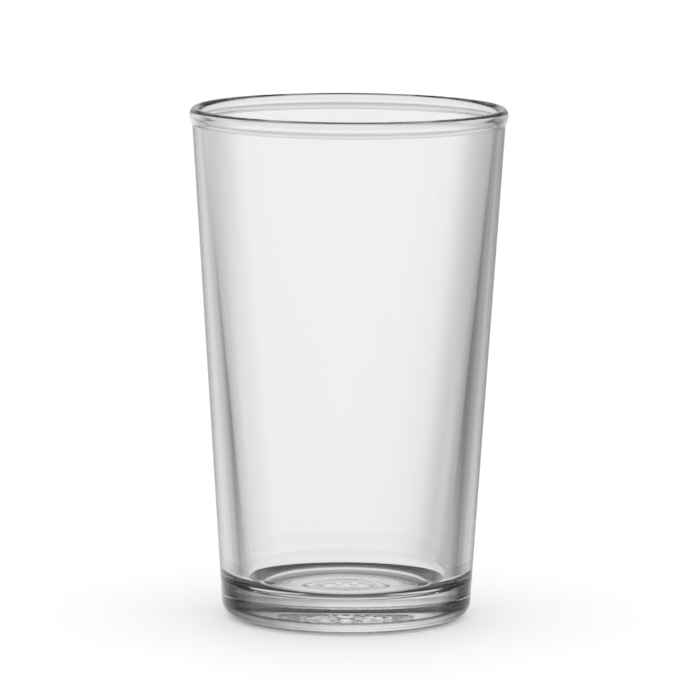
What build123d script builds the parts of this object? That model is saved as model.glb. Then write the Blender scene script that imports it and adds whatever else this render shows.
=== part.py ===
from build123d import *
import os
from math import atan2, cos, degrees, pi, radians, sin, sqrt, tan

# A pressed pint glass, in millimetres. Origin at the middle of the base, on the surface it stands on, +Z up.
# The whole glass is one piece: a drawing of half its section is turned about Z, then the notches around
# the heel are cut and the raised mark under the base is added.

# Driving dimensions
height = 148.6  # base to the top of the lip
bead_radius = 46.1  # widest point of the glass, on the bead around the mouth
base_thickness = 9.69  # table to the middle of the inner floor
outer_draft = 3.72  # degrees, outer wall from vertical
inner_draft = 5.82  # degrees, inner wall from vertical
floor_edge_radius = 28.82  # inner wall carried down to the floor
floor_corner_radius = 5.1
floor_flat_radius = 13.2  # flat middle of the inner floor
floor_bend_radius = 295  # gentle fall of the floor from its flat middle to the corner

# Heel: one arc from the wall to toe_angle, and a tighter one from there to the ring it stands on
heel_radius = 5.2
toe_radius = 4.1
toe_angle = 45  # degrees from vertical

# Mouth
lip_crest_radius = 44.5  # circle along the top of the lip
bead_widest_drop = 2.3  # top of the lip to the widest point
bead_shoulder_drop = 4.2  # top of the lip to the bead's lower shoulder
bead_end_drop = 4.9  # top of the lip to the plain wall
bead_shoulder_inset = 0.5  # widest point to shoulder
bead_end_inset = 0.8  # widest point to plain wall
lip_inner_drop = 2.5  # top of the lip to where the inner wall runs straight

# Underside
ring_inner_radius = 26.3  # inner edge of the flat ring the glass stands on
hollow_depth = 1.8  # middle of the underside, above the table
hollow_flat_radius = 16.4  # flat middle of the hollow

# Notches around the heel
notch_count = 240
notch_cutter_radius = 0.4
notch_depth = 0.15
notch_lean = 27  # degrees, along the toe from the ring's edge

# Raised mark in the middle of the underside: two plain rings with radial bars between them, and studs inside
mark_relief = 0.45
mark_ring_width = 0.7
mark_ring_radii = (12.8, 8.0)
mark_bar_count = 36
mark_bar_reach = (9.0, 11.4)
mark_bar_width = 0.7
mark_centre_radius = 1.6
mark_petal_count = 6
mark_petal_circle = 4.3
mark_petal_radius = 1.1


def outer_wall(z):
    """Radius of the plain outer wall at height z."""
    wall_top = height - bead_end_drop
    return bead_radius - bead_end_inset - (wall_top - z) * tan(radians(outer_draft))


def inner_wall(z):
    """Radius of the plain inner wall at height z."""
    return floor_edge_radius + (z - base_thickness) * tan(radians(inner_draft))


def toe_drop():
    """Height of the toe arc above its lowest point, where the heel arc takes over."""
    return toe_radius * (1 - sin(radians(toe_angle)))


def heel_centre():
    """Centre, in the section, of the arc that leaves the outer wall."""
    top = toe_drop() + heel_radius * (sin(radians(toe_angle)) - sin(radians(outer_draft)))
    across = outer_wall(top) - heel_radius * cos(radians(outer_draft))
    return (across, toe_drop() + heel_radius * sin(radians(toe_angle)))


def toe_centre():
    """Centre, in the section, of the tighter arc that ends on the ring the glass stands on."""
    r, z = heel_centre()
    step = heel_radius - toe_radius
    return (r + step * cos(radians(toe_angle)), z - step * sin(radians(toe_angle)))


def floor_corner_centre():
    """Centre of the arc between floor and wall. It touches the wall's line and the floor's gentle bend."""
    draft = tan(radians(inner_draft))
    reach = floor_bend_radius + floor_corner_radius
    start = floor_edge_radius - floor_flat_radius
    start -= floor_corner_radius / cos(radians(inner_draft)) + floor_bend_radius * draft
    rise = (sqrt(reach**2 * (1 + draft**2) - start**2) - start * draft) / (1 + draft**2)
    return (floor_flat_radius + start + rise * draft, base_thickness - floor_bend_radius + rise)


def section():
    """Half of the glass's section, in the XZ plane, from the middle of the floor round to the underside."""
    bend = (floor_flat_radius, base_thickness - floor_bend_radius)
    corner = floor_corner_centre()
    slope = degrees(atan2(corner[0] - bend[0], corner[1] - bend[1]))
    lip_inner_z = height - lip_inner_drop
    lip_inner = (inner_wall(lip_inner_z), lip_inner_z)
    crest = (lip_crest_radius, height)
    widest = (bead_radius, height - bead_widest_drop)
    shoulder = (bead_radius - bead_shoulder_inset, height - bead_shoulder_drop)
    bead_end = (bead_radius - bead_end_inset, height - bead_end_drop)
    with BuildSketch(Plane.XZ) as sketch:
        with BuildLine():
            floor = Line((0, base_thickness), (floor_flat_radius, base_thickness))
            CenterArc(bend, floor_bend_radius, 90, -slope)
            floor_corner = CenterArc(corner, floor_corner_radius, -90 - slope, 90 - inner_draft + slope)
            inner = Line(floor_corner @ 1, lip_inner)
            up = (sin(radians(inner_draft)), cos(radians(inner_draft)))
            Spline(inner @ 1, crest, tangents=(up, (1, 0)))
            Spline(crest, widest, tangents=((1, 0), (0, -1)))
            bead = TangentArc(widest, shoulder, tangent=(0, -1))
            Line(bead @ 1, bead_end)
            heel = CenterArc(heel_centre(), heel_radius, -toe_angle, toe_angle - outer_draft)
            Line(bead_end, heel @ 1)
            toe = CenterArc(toe_centre(), toe_radius, -90, 90 - toe_angle)
            ring = Line(toe @ 0, (ring_inner_radius, 0))
            hollow = TangentArc((hollow_flat_radius, hollow_depth), ring @ 1, tangent=(1, 0))
            Line(hollow @ 0, (0, hollow_depth))
            Line((0, hollow_depth), floor @ 0)
        make_face()
    return sketch.sketch


def notch_cutters():
    """Leaning rods around the heel. Each one's side dips into the toe's arc, so its notch fades out at
    both ends, before the flat ring and before the wall."""
    centre_r, centre_z = toe_centre()
    lean = radians(notch_lean)
    reach = toe_radius + notch_cutter_radius - notch_depth
    rod = Rot(0, 90 - notch_lean, 0) * Cylinder(notch_cutter_radius, 2 * toe_radius)
    rod = Pos(centre_r + reach * sin(lean), 0, centre_z - reach * cos(lean)) * rod
    return [Rot(0, 0, i * 360 / notch_count) * rod for i in range(notch_count)]


def mark():
    """The raised mark. It starts a little inside the glass so that it joins it."""
    root = 0.5
    tall = mark_relief + root
    base = Pos(0, 0, hollow_depth - mark_relief)
    align = (Align.CENTER, Align.CENTER, Align.MIN)
    pieces = [base * Cylinder(mark_centre_radius, tall, align=align)]
    for radius in mark_ring_radii:
        ring = Cylinder(radius, tall, align=align)
        ring -= Cylinder(radius - mark_ring_width, tall, align=align)
        pieces.append(base * ring)
    petal = Pos(mark_petal_circle, 0, 0) * Cylinder(mark_petal_radius, tall, align=align)
    pieces += [base * Rot(0, 0, i * 360 / mark_petal_count) * petal for i in range(mark_petal_count)]
    start, end = mark_bar_reach
    bar = Pos((start + end) / 2, 0, 0) * Box(end - start, mark_bar_width, tall, align=align)
    pieces += [base * Rot(0, 0, i * 360 / mark_bar_count) * bar for i in range(mark_bar_count)]
    return pieces


def capacity():
    """Volume inside the glass up to the brim, in millilitres, by slices."""
    slices = 400
    step = (height - base_thickness) / slices
    total = sum(pi * inner_wall(base_thickness + (i + 0.5) * step) ** 2 * step for i in range(slices))
    return total / 1000


def tumbler():
    """The finished glass."""
    body = revolve(section(), Axis.Z)
    body = body.cut(*notch_cutters())
    return body.fuse(*mark())


os.makedirs("parts", exist_ok=True)
glass = tumbler()
export_step(glass, "parts/tumbler.step")
print("capacity to the brim, ml:", round(capacity()))
print("volume of glass, ml:", round(glass.volume / 1000))
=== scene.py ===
from math import atan2, cos, floor, hypot, pi, radians, sin, sqrt, tan, tau

import bpy
from mathutils import Matrix, Vector, noise

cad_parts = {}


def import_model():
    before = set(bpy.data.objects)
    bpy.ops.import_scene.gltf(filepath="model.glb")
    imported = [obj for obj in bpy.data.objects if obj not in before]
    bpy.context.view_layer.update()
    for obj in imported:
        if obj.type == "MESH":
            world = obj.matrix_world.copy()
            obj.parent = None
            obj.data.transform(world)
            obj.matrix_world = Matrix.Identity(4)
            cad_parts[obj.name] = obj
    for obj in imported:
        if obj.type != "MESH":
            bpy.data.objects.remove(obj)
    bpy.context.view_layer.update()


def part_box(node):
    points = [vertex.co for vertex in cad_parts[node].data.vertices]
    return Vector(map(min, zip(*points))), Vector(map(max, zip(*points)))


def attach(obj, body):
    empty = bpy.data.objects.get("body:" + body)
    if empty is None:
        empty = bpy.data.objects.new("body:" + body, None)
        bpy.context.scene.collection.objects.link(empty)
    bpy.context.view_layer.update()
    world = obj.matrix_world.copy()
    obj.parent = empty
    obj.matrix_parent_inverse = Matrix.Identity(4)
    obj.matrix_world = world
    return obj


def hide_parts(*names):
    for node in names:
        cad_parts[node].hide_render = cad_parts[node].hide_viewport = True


# A pressed pint glass on a pale floor. Metres, in the CAD frame: the base stands on z = 0, +Z up.
# The CAD node gives the height and the width, and the rest of the section, the notches and the mark follow
# the part's own dimensions. The glass that is seen is turned finely, so that light bends through it
# without facets.

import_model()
MM = 0.001

# From the frame
low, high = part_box("tumbler")
height = high.z - low.z
bead_radius = (high.x - low.x) / 2

# Section, as the CAD part has it
base_thickness = 9.69 * MM  # table to the middle of the inner floor
outer_draft = radians(3.72)
inner_draft = radians(5.82)
floor_edge_radius = 28.82 * MM  # inner wall carried down to the floor
floor_corner_radius = 5.1 * MM
floor_flat_radius = 13.2 * MM
floor_bend_radius = 295 * MM  # gentle fall of the floor from its flat middle to the corner
heel_radius = 5.2 * MM  # arc from the wall to toe_angle
toe_radius = 4.1 * MM  # tighter arc from there to the ring the glass stands on
toe_angle = radians(45)
lip_crest_radius = bead_radius - 1.6 * MM
bead_widest_z = height - 2.3 * MM
bead_shoulder_z = height - 4.2 * MM
bead_end_z = height - 4.9 * MM
bead_shoulder_radius = bead_radius - 0.5 * MM
bead_end_radius = bead_radius - 0.8 * MM
lip_inner_z = height - 2.5 * MM
ring_inner_radius = 26.3 * MM  # inner edge of the flat ring the glass stands on
hollow_depth = 1.8 * MM  # middle of the underside, above the table
hollow_flat_radius = 16.4 * MM

# Directions of the outline, (outwards, up)
shoulder_way = (-0.42, -1)  # as the bead arrives at its shoulder
step_start_way = (-0.9, -1)  # as the step leaves the shoulder
step_end_way = (-0.1, -1)  # as the step meets the plain wall
hollow_start_way = (-1, 0.22)  # as the hollow leaves the ring

# Notches around the heel
notch_count = 240
notch_cutter_radius = 0.4 * MM
notch_depth = 0.15 * MM
notch_lean = radians(27)

# Raised mark under the base: two plain rings with radial bars between them, and studs inside
mark_relief = 0.45 * MM
mark_ring_width = 0.7 * MM
mark_ring_radii = (12.8 * MM, 8.0 * MM)
mark_bar_count = 36
mark_bar_reach = (9.0 * MM, 11.4 * MM)
mark_bar_width = 0.7 * MM
mark_studs = ((6, 4.3 * MM, 1.1 * MM), (1, 0.0, 1.6 * MM))  # (how many, radius of their circle, radius)
mark_slope = 0.4 * MM  # width of the sloping side of the relief

# Slow unevenness of the pressed walls
inner_ripple = 0.005 * MM
outer_ripple = 0.004 * MM
inner_ripple_fade = 12 * MM  # how far from the wall's ends it reaches its full strength
outer_ripple_fade = 8 * MM
ripples_across = 45  # per metre
ripples_along = 30

# Skin of the glass: noise in features per metre, and the height of each bump
cords_scale = 110
cords_stretch = (1, 1, 0.12)  # drawn out along the glass
cords_height = 0.004 * MM
skin_scale = 420
skin_height = 0.001 * MM
chill_scale = 1500
chill_height = 0.02 * MM
chill_roughness = 0.08
chill_fade_z = (5.0 * MM, 6.5 * MM)  # from full on the heel to none on the wall
chill_fade_radius = (30.5 * MM, 31.5 * MM)  # from weak under the base to full on the toe
chill_under_base = 0.2
wear_scale = 60
wear_range = (0.55, 0.8)  # of the noise: where wear begins, and where it is full
wear_roughness = 0.03
seeds_scale = 75
seed_size = (0.018, 0.026)  # of a cell: the seed itself and its soft edge
seed_shade = 0.72

# Body of the glass
refractive_index = 1.52
surface_tint = (0.996, 0.996, 0.998, 1)
body_tint = (0.8, 0.85, 0.84, 1)
body_density = 3.0
light_bounces = 32  # enough for light to leave the thick base again

# The studio, seen from the glass: (degrees, brightness or share). A turn of 0 is straight behind the glass
# and positive to the right. A rise of -90 is straight down and 90 straight up.
screen_sides = (  # by turn: the screen behind, a dark gap at each side of it, and the open front
    (-180, 1.0), (-84, 0.95), (-77, 0.3), (-69, 0.02), (-57, 0.04), (-49, 0.3),
    (-36, 0.65), (-24, 0.88), (-14, 1.0), (2, 1.0), (16, 0.72), (30, 0.42),
    (45, 0.22), (57, 0.04), (69, 0.02), (77, 0.3), (84, 0.95), (180, 1.0),
)
table_share = (  # by rise: how far the table hides the gaps in the screen
    (-90, 0.8), (-20, 0.8), (-14, 0.0), (90, 0.0),
)
levels = (  # by rise: table, screen and ceiling
    (-90, 0.12), (-68, 0.12), (-58, 0.6), (-50, 0.75), (-42, 0.85), (-34, 0.9),
    (-16, 0.84), (-9, 0.9), (-5, 0.9), (-1, 0.5), (4, 0.7), (10, 0.85),
    (16, 0.32), (24, 0.8), (36, 0.05), (60, 0.02), (90, 0.2),
)
near_side = (  # by turn: the dark front of the studio, nearest to the camera
    (-180, 0.1), (-88, 0.1), (-70, 1.0), (70, 1.0), (88, 0.1), (180, 0.1),
)
near_side_share = (  # by rise: how far the front's darkness counts
    (-90, 0.0), (-52, 0.0), (-46, 1.0), (-30, 1.0), (-22, 0.0),
    (4, 0.0), (9, 0.9), (30, 0.9), (42, 0.0), (90, 0.0),
)
floor_light = 1.25  # the studio's plain light on the floor

# Painted shade and light of the table close to the glass, as glowing rings seen only through the glass:
# (radius, brightness). Pale under the middle of the hollow, darker towards the ring, and a nearly black
# painted contact shadow round the line of contact
under_hollow = (
    (0, 0.8), (15 * MM, 0.8), (20 * MM, 0.65), (24 * MM, 0.35), (ring_inner_radius, 0.1),
)
under_hollow_start = 0.1 * MM
contact_inner = 30.3 * MM
contact_outer = 41 * MM
# Painted contact shadow: a nearly black glowing ring round the line of contact
contact = ((0, 0.02), (contact_outer, 0.02))
shade_ring_drop = 0.03 * MM  # these rings, and the floor below them, stay clear of the glass
floor_drop = 0.05 * MM

# Camera
camera_place = Vector((0, -1.743, 0.3166))
camera_aim = Vector((0.0007, 0, 0.0779))
camera_roll = 0.006  # radians
sensor_width = 36  # millimetres, as focal_length
focal_length = 311.8

# Mesh density
shading_edge = 0.1 * MM  # from the end of a straight stretch to the extra ring of points that guards it
wall_segments = 480
notched_segments = 1920
bend_share = 0.99  # of the floor's bend: it stops short of the corner's first point, as a guard
same_place = 1e-7  # metres: points closer than this are one point


def outer_wall(z):
    """Radius of the plain outer wall at height z."""
    return bead_end_radius - (bead_end_z - z) * tan(outer_draft)


def inner_wall(z):
    """Radius of the plain inner wall at height z."""
    return floor_edge_radius + (z - base_thickness) * tan(inner_draft)


toe_drop = toe_radius * (1 - sin(toe_angle))
heel_top_z = toe_drop + heel_radius * (sin(toe_angle) - sin(outer_draft))
heel_centre_r = outer_wall(heel_top_z) - heel_radius * cos(outer_draft)
heel_centre = Vector((heel_centre_r, toe_drop + heel_radius * sin(toe_angle)))
toe_centre = heel_centre + (heel_radius - toe_radius) * Vector((cos(toe_angle), -sin(toe_angle)))


def find_corner():
    """Centre of the arc between floor and wall. It touches the wall's line and the floor's gentle bend."""
    draft = tan(inner_draft)
    reach = floor_bend_radius + floor_corner_radius
    start = floor_edge_radius - floor_flat_radius
    start -= floor_corner_radius / cos(inner_draft) + floor_bend_radius * draft
    rise = (sqrt(reach**2 * (1 + draft**2) - start**2) - start * draft) / (1 + draft**2)
    return bend_centre + Vector((start + rise * draft, rise))


bend_centre = Vector((floor_flat_radius, base_thickness - floor_bend_radius))
corner_centre = find_corner()
floor_slope = atan2(corner_centre.x - bend_centre.x, corner_centre.y - bend_centre.y)


def line(a, b, count):
    """Points from a to b, with one close to each end, so that the smooth shading of the bend next to it
    stays off the straight stretch."""
    a, b = Vector(a), Vector(b)
    edge = (b - a).normalized() * shading_edge
    inner = [(a + edge).lerp(b - edge, i / count) for i in range(count + 1)]
    return [a, *inner, b]


def arc(centre, radius, first, last, count):
    """Points on an arc, with angles from straight down, counter-clockwise."""
    points = []
    for i in range(count + 1):
        angle = first + (last - first) * i / count
        points.append(centre + radius * Vector((sin(angle), -cos(angle))))
    return points


def curve(a, a_way, b, b_way, count):
    """A smooth bend from a to b that leaves along a_way and arrives along b_way."""
    fullness = 0.39
    a, b = Vector(a), Vector(b)
    reach = (b - a).length * fullness
    c = a + Vector(a_way).normalized() * reach
    d = b - Vector(b_way).normalized() * reach
    points = []
    for i in range(count + 1):
        t = i / count
        s = 1 - t
        points.append(a * s**3 + c * (3 * s * s * t) + d * (3 * s * t * t) + b * t**3)
    return points


def section():
    """Stretches of the section from the middle of the floor round to the middle of the underside. Each is
    (name, points, segments around). The last number of a line, arc or curve is its count of steps."""
    inner_top = (inner_wall(lip_inner_z), lip_inner_z)
    crest = (lip_crest_radius, height)
    widest = (bead_radius, bead_widest_z)
    shoulder = (bead_shoulder_radius, bead_shoulder_z)
    bead_end = (bead_end_radius, bead_end_z)
    up_inside = (sin(inner_draft), cos(inner_draft))
    heel = arc(heel_centre, heel_radius, pi / 2 - outer_draft, pi / 2 - toe_angle, 10)
    toe = arc(toe_centre, toe_radius, pi / 2 - toe_angle, 0, 14)
    ring_outer = tuple(toe[-1])
    floor_flat = line((0, base_thickness), (floor_flat_radius, base_thickness), 3)
    floor_bend = arc(bend_centre, floor_bend_radius, pi, pi - floor_slope * bend_share, 5)
    corner = arc(corner_centre, floor_corner_radius, -floor_slope, pi / 2 - inner_draft, 13)
    wall = line(corner[-1], inner_top, 10)
    lip_in = curve(inner_top, up_inside, crest, (1, 0), 9)
    lip_out = curve(crest, (1, 0), widest, (0, -1), 9)
    bead = curve(widest, (0, -1), shoulder, shoulder_way, 5)
    step = curve(shoulder, step_start_way, bead_end, step_end_way, 4)
    outside = line(bead_end, heel[0], 10)
    ring = line(ring_outer, (ring_inner_radius, 0), 2)
    hollow_edge = (hollow_flat_radius, hollow_depth)
    hollow = curve((ring_inner_radius, 0), hollow_start_way, hollow_edge, (-1, 0), 10)
    rim_of_mark = (mark_ring_radii[0] + mark_slope, hollow_depth)
    heart_of_mark = (mark_ring_radii[1] - mark_ring_width - mark_slope, hollow_depth)
    flat = line(hollow_edge, rim_of_mark, 1)
    flat += line(rim_of_mark, heart_of_mark, 28)
    flat += line(heart_of_mark, (0, hollow_depth), 14)
    return [
        ("inside", floor_flat, wall_segments),
        ("inside", floor_bend, wall_segments),
        ("inside", corner, wall_segments),
        ("inside", wall, wall_segments),
        ("lip", lip_in, wall_segments),
        ("lip", lip_out, wall_segments),
        ("lip", bead, wall_segments),
        ("lip", step, wall_segments),
        ("outside", outside, wall_segments),
        ("heel", heel, wall_segments),
        ("toe", toe, notched_segments),
        ("ring", ring, wall_segments),
        ("hollow", hollow, wall_segments),
        ("mark", flat, wall_segments),
    ]


def cut_notch(r, z, angle):
    """Where a point of the heel lies once the rods have cut their notches."""
    pitch = tau / notch_count
    across = r * (angle - pitch * floor(angle / pitch + 0.5))
    if abs(across) >= notch_cutter_radius:
        return r, z
    way = Vector((sin(notch_lean), -cos(notch_lean)))
    rod_axis = (toe_centre + (toe_radius + notch_cutter_radius - notch_depth) * way).dot(way)
    rod_side = rod_axis - sqrt(notch_cutter_radius**2 - across**2)
    moved = Vector((r, z)) - way * max(0.0, Vector((r, z)).dot(way) - rod_side)
    return moved.x, moved.y


def spoke_distance(x, y, count):
    """Distance from a point of the underside to the nearest of count evenly spaced spokes."""
    pitch = tau / count
    turn = atan2(y, x)
    return hypot(x, y) * abs(sin(turn - floor(turn / pitch + 0.5) * pitch))


def relief(x, y):
    """Height of the raised mark at a point of the underside, with a soft slope at its edges."""
    r = hypot(x, y)
    inside = max(min(ring - r, r - ring + mark_ring_width) for ring in mark_ring_radii)
    along = min(r - mark_bar_reach[0], mark_bar_reach[1] - r)
    across = mark_bar_width / 2 - spoke_distance(x, y, mark_bar_count)
    inside = max(inside, min(along, across))
    for count, circle, radius in mark_studs:
        pitch = tau / count
        turn = floor(atan2(y, x) / pitch + 0.5) * pitch
        inside = max(inside, radius - hypot(x - circle * cos(turn), y - circle * sin(turn)))
    share = min(max(0.5 + inside / mark_slope, 0.0), 1.0)
    return mark_relief * share * share * (3 - 2 * share)


def ripple(x, y, z, seed):
    """Slow unevenness of a pressed wall, between -1 and 1."""
    return noise.noise(Vector((x * ripples_across + seed, y * ripples_across, z * ripples_along)))


def place(name, r, z, angle):
    """The finished place of a point of the section turned to angle: notched, raised or a little uneven."""
    x, y = r * cos(angle), r * sin(angle)
    if name == "toe":
        r, z = cut_notch(r, z, angle)
    elif name == "mark":
        z -= relief(x, y)
    elif name == "inside" and z > corner_centre.y:
        from_end = min(z - corner_centre.y, lip_inner_z - z)
        fade = min(1, from_end / inner_ripple_fade)
        r -= inner_ripple * max(fade, 0) * ripple(x, y, z, seed=3)
    elif name == "outside":
        from_end = min(bead_end_z - z, z - heel_top_z)
        fade = min(1, from_end / outer_ripple_fade)
        r -= outer_ripple * max(fade, 0) * (1 + ripple(x, y, z, seed=11))
    return r * cos(angle), r * sin(angle), z


def skin(a, count_a, b, count_b):
    """Faces between two rings of vertices that start at a and b, wound so that they face out of the glass."""
    if count_a == count_b:
        return [(a + i, b + i, b + (i + 1) % count_b, a + (i + 1) % count_a) for i in range(count_a)]
    fine_first = count_a > count_b
    fine, many, coarse, few = (a, count_a, b, count_b) if fine_first else (b, count_b, a, count_a)
    share = many // few
    faces = []
    for i in range(few):
        for j in range(share):
            k = i * share + j
            faces.append((fine + k, coarse + i, fine + (k + 1) % many))
        if few > 1:
            faces.append((coarse + i, coarse + (i + 1) % few, fine + (k + 1) % many))
    return faces if fine_first else [face[::-1] for face in faces]


def build_mesh(name):
    """Turns the section into one closed mesh. Where the count around changes, triangles make the seam."""
    vertices, faces, rows = [], [], []
    last = None
    for stretch, points, segments in section():
        for point in points:
            if last is not None and (point - last).length < same_place:
                continue
            last = point
            start = len(vertices)
            if point.x < same_place:
                vertices.append((0.0, 0.0, place(stretch, 0.0, point.y, 0.0)[2]))
                rows.append((start, 1))
                continue
            for i in range(segments):
                vertices.append(place(stretch, point.x, point.y, tau * i / segments))
            rows.append((start, segments))
    for (a, count_a), (b, count_b) in zip(rows, rows[1:]):
        faces += skin(a, count_a, b, count_b)
    mesh = bpy.data.meshes.new(name)
    mesh.from_pydata(vertices, [], faces)
    mesh.validate()
    mesh.update()
    for polygon in mesh.polygons:
        polygon.use_smooth = True
    return mesh


def texture(tree, kind, scale, stretch=(1, 1, 1), **settings):
    """A noise or cell texture on the glass's own coordinates; scale is in features per metre."""
    spread = tree.nodes.new("ShaderNodeMapping")
    spread.inputs["Scale"].default_value = stretch
    tree.links.new(tree.nodes.new("ShaderNodeTexCoord").outputs["Object"], spread.inputs["Vector"])
    node = tree.nodes.new(kind)
    node.inputs["Scale"].default_value = scale
    for name, value in settings.items():
        node.inputs[name].default_value = value
    tree.links.new(spread.outputs["Vector"], node.inputs["Vector"])
    return node


def calculate(tree, operation, first, second=0.0):
    """The outcome of a Math node on sockets or plain numbers."""
    node = tree.nodes.new("ShaderNodeMath")
    node.operation = operation
    for socket, given in zip(node.inputs, (first, second)):
        if isinstance(given, (int, float)):
            socket.default_value = given
        else:
            tree.links.new(given, socket)
    return node.outputs["Value"]


def between(tree, value, low_value, high_value, low_out, high_out):
    """The value carried from one range of numbers to another."""
    spread = tree.nodes.new("ShaderNodeMapRange")
    tree.links.new(value, spread.inputs["Value"])
    spread.inputs["From Min"].default_value = low_value
    spread.inputs["From Max"].default_value = high_value
    spread.inputs["To Min"].default_value = low_out
    spread.inputs["To Max"].default_value = high_out
    return spread.outputs["Result"]


def ramp(tree, value, low_end, high_end, stops):
    """A brightness that follows the stops (place, brightness) as the value goes from low_end to high_end."""
    spread = tree.nodes.new("ShaderNodeMapRange")
    spread.inputs["From Min"].default_value = low_end
    spread.inputs["From Max"].default_value = high_end
    tree.links.new(value, spread.inputs["Value"])
    shade = tree.nodes.new("ShaderNodeValToRGB")
    shade.color_ramp.interpolation = "EASE"
    elements = shade.color_ramp.elements
    while len(elements) < len(stops):
        elements.new(0.5)
    for element, (at, brightness) in zip(elements, stops):
        element.position = (at - low_end) / (high_end - low_end)
        element.color = (brightness, brightness, brightness, 1)
    tree.links.new(spread.outputs["Result"], shade.inputs["Fac"])
    return shade.outputs["Color"]


def bump(tree, height_value, distance, beneath=None):
    """A bump of a height in metres, over any bump beneath it."""
    node = tree.nodes.new("ShaderNodeBump")
    node.inputs["Distance"].default_value = distance
    tree.links.new(height_value, node.inputs["Height"])
    if beneath:
        tree.links.new(beneath, node.inputs["Normal"])
    return node.outputs["Normal"]


def chilled(tree):
    """How strongly the mould has chilled the skin: 1 on the heel, a little under the base, 0 elsewhere."""
    point = tree.nodes.new("ShaderNodeTexCoord").outputs["Object"]
    parts = tree.nodes.new("ShaderNodeSeparateXYZ")
    tree.links.new(point, parts.inputs["Vector"])
    squares = [calculate(tree, "MULTIPLY", parts.outputs[axis], parts.outputs[axis]) for axis in "XY"]
    radius = calculate(tree, "SQRT", calculate(tree, "ADD", *squares))
    near_table = between(tree, parts.outputs["Z"], *chill_fade_z, 1.0, 0.0)
    outside = between(tree, radius, *chill_fade_radius, chill_under_base, 1.0)
    return calculate(tree, "MULTIPLY", near_table, outside)


def glass_material():
    """Clear pressed soda-lime glass: long faint cords and a finer unevenness in its skin, the mould's chill
    on its heel, a few tiny seeds and a little wear."""
    material = bpy.data.materials.new("clear_glass")
    material.use_nodes = True
    tree = material.node_tree
    shader = tree.nodes["Principled BSDF"]
    cords = texture(tree, "ShaderNodeTexNoise", cords_scale, cords_stretch, Detail=1.0)
    skin_noise = texture(tree, "ShaderNodeTexNoise", skin_scale, Detail=2.0)
    seeds = texture(tree, "ShaderNodeTexVoronoi", seeds_scale)
    wear = texture(tree, "ShaderNodeTexNoise", wear_scale, Detail=4.0)
    normal = bump(tree, cords.outputs["Fac"], cords_height)
    normal = bump(tree, skin_noise.outputs["Fac"], skin_height, normal)
    chill = texture(tree, "ShaderNodeTexNoise", chill_scale, Detail=2.0)
    chill_depth = calculate(tree, "MULTIPLY", chill.outputs["Fac"], chilled(tree))
    normal = bump(tree, chill_depth, chill_height, normal)
    tree.links.new(normal, shader.inputs["Normal"])
    worn = between(tree, wear.outputs["Fac"], *wear_range, 0.0, wear_roughness)
    dull = calculate(tree, "MULTIPLY", chilled(tree), chill_roughness)
    tree.links.new(calculate(tree, "MAXIMUM", worn, dull), shader.inputs["Roughness"])
    speck = between(tree, seeds.outputs["Distance"], *seed_size, seed_shade, 1.0)
    tint = tree.nodes.new("ShaderNodeMix")
    tint.data_type = "RGBA"
    tint.blend_type = "MULTIPLY"
    tint.inputs["Factor"].default_value = 1.0
    tint.inputs["A"].default_value = surface_tint
    tree.links.new(speck, tint.inputs["B"])
    tree.links.new(tint.outputs["Result"], shader.inputs["Base Color"])
    shader.inputs["IOR"].default_value = refractive_index
    shader.inputs["Transmission Weight"].default_value = 1.0
    absorption = tree.nodes.new("ShaderNodeVolumeAbsorption")
    absorption.inputs["Color"].default_value = body_tint
    absorption.inputs["Density"].default_value = body_density
    tree.links.new(absorption.outputs["Volume"], tree.nodes["Material Output"].inputs["Volume"])
    return material


def tumbler():
    """The glass that is seen."""
    piece = bpy.data.objects.new("pint_glass", build_mesh("pint_glass"))
    bpy.context.scene.collection.objects.link(piece)
    piece.data.materials.append(glass_material())
    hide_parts("tumbler")
    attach(piece, "root")
    return piece


def painted_shade_ring(name, inner, outer, stops):
    """A glowing ring on the table whose brightness follows the stops (radius, brightness): painted shade and
    light of the table. It is seen only through the glass."""
    mesh = bpy.data.meshes.new(name)
    spokes = 96
    turns = [tau * i / spokes for i in range(spokes)]
    vertices = [(r * cos(turn), r * sin(turn), 0) for r in (inner, outer) for turn in turns]
    faces = [(i, (i + 1) % spokes, spokes + (i + 1) % spokes, spokes + i) for i in range(spokes)]
    mesh.from_pydata(vertices, [], faces)
    mesh.update()
    piece = bpy.data.objects.new(name, mesh)
    bpy.context.scene.collection.objects.link(piece)
    piece.location.z = -shade_ring_drop
    piece.visible_camera = False
    piece.visible_diffuse = False
    piece.visible_glossy = False
    material = bpy.data.materials.new(name)
    material.use_nodes = True
    material.cycles.emission_sampling = "NONE"
    tree = material.node_tree
    radius = tree.nodes.new("ShaderNodeVectorMath")
    radius.operation = "LENGTH"
    tree.links.new(tree.nodes.new("ShaderNodeTexCoord").outputs["Object"], radius.inputs[0])
    glow = tree.nodes.new("ShaderNodeEmission")
    tree.links.new(ramp(tree, radius.outputs["Value"], 0, outer, stops), glow.inputs["Color"])
    tree.links.new(glow.outputs["Emission"], tree.nodes["Material Output"].inputs["Surface"])
    piece.data.materials.append(material)


def floor_plane():
    """A plain pale floor. Seen through the glass, the studio's lower half stands in for it."""
    half = 3.0
    corners = [(-half, -half, 0), (half, -half, 0), (half, half, 0), (-half, half, 0)]
    mesh = bpy.data.meshes.new("floor")
    mesh.from_pydata(corners, [], [(0, 1, 2, 3)])
    mesh.update()
    piece = bpy.data.objects.new("floor", mesh)
    bpy.context.scene.collection.objects.link(piece)
    piece.location.z = -floor_drop
    material = bpy.data.materials.new("pale_floor")
    material.use_nodes = True
    shader = material.node_tree.nodes["Principled BSDF"]
    shader.inputs["Base Color"].default_value = (0.96, 0.96, 0.96, 1)
    shader.inputs["Roughness"].default_value = 0.6
    piece.data.materials.append(material)
    piece.visible_transmission = False
    piece.visible_glossy = False


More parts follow.
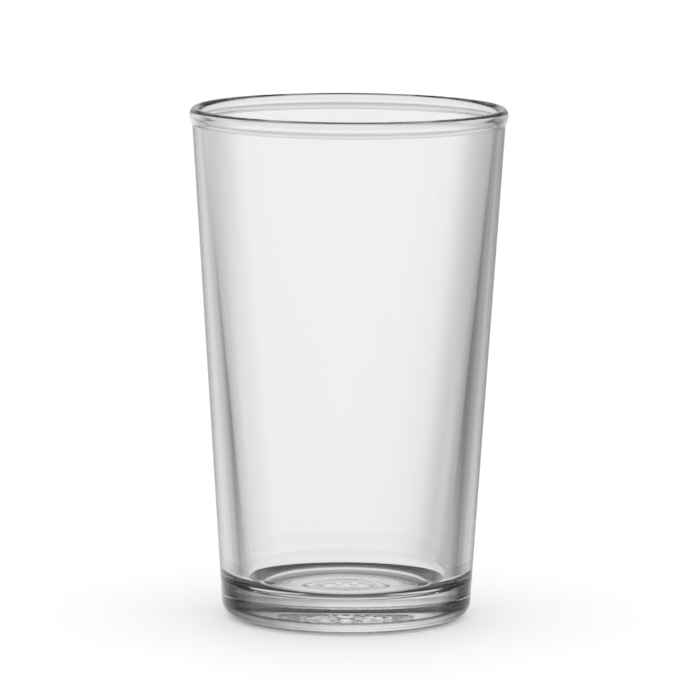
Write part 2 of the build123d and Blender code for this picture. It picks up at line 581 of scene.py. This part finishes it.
def world():
    """A studio round the glass: a wide white screen behind it that fades to the sides, a pale table, a dark
    ceiling and a front that is dark in places. The open background and the light on the floor are plain
    white."""
    sky = bpy.data.worlds.new("studio")
    bpy.context.scene.world = sky
    sky.use_nodes = True
    sky.cycles.sampling_method = "NONE"
    tree = sky.node_tree
    way = tree.nodes.new("ShaderNodeTexCoord").outputs["Generated"]
    parts = tree.nodes.new("ShaderNodeSeparateXYZ")
    tree.links.new(way, parts.inputs["Vector"])
    turn = calculate(tree, "DEGREES", calculate(tree, "ARCTAN2", parts.outputs["X"], parts.outputs["Y"]))
    rise = calculate(tree, "DEGREES", calculate(tree, "ARCSINE", parts.outputs["Z"]))
    screen = ramp(tree, turn, -180, 180, screen_sides)
    table = ramp(tree, rise, -90, 90, table_share)
    across = calculate(tree, "MAXIMUM", screen, table)
    studio = calculate(tree, "MULTIPLY", across, ramp(tree, rise, -90, 90, levels))
    unshaded = calculate(tree, "SUBTRACT", 1.0, ramp(tree, rise, -90, 90, near_side_share))
    near = calculate(tree, "MAXIMUM", unshaded, ramp(tree, turn, -180, 180, near_side))
    studio = calculate(tree, "MULTIPLY", studio, near)
    rays = tree.nodes.new("ShaderNodeLightPath")
    off_floor = calculate(tree, "MINIMUM", rays.outputs["Diffuse Depth"], 1.0)
    on_floor = calculate(tree, "MULTIPLY", off_floor, floor_light)
    plain = calculate(tree, "MAXIMUM", rays.outputs["Is Camera Ray"], on_floor)
    strength = calculate(tree, "MAXIMUM", studio, plain)
    tree.links.new(strength, tree.nodes["Background"].inputs["Strength"])
    tree.nodes["Background"].inputs["Color"].default_value = (1, 1, 1, 1)


def camera():
    """A long lens from in front of the glass and above its mouth, looking slightly down."""
    lens = bpy.data.cameras.new("camera")
    lens.sensor_width = sensor_width
    lens.lens = focal_length
    lens.clip_end = 20
    viewer = bpy.data.objects.new("camera", lens)
    bpy.context.scene.collection.objects.link(viewer)
    look = (camera_aim - camera_place).to_track_quat("-Z", "Y").to_matrix()
    roll = Matrix.Rotation(camera_roll, 3, "Z")
    viewer.matrix_world = Matrix.Translation(camera_place) @ (look @ roll).to_4x4()
    bpy.context.scene.camera = viewer


camera()
tumbler()
floor_plane()
# Painted shade: glowing rings under and round the base, seen only through the glass, stand in for the table's
# shade and light
painted_shade_ring("painted_hollow_shade", under_hollow_start, ring_inner_radius, under_hollow)
# Painted contact shadow, seen only through the glass
painted_shade_ring("contact_shadow", contact_inner, contact_outer, contact)
world()
bpy.context.scene.view_settings.view_transform = "Standard"
bpy.context.scene.cycles.max_bounces = light_bounces
bpy.context.scene.cycles.transmission_bounces = light_bounces
bpy.context.scene.cycles.glossy_bounces = light_bounces
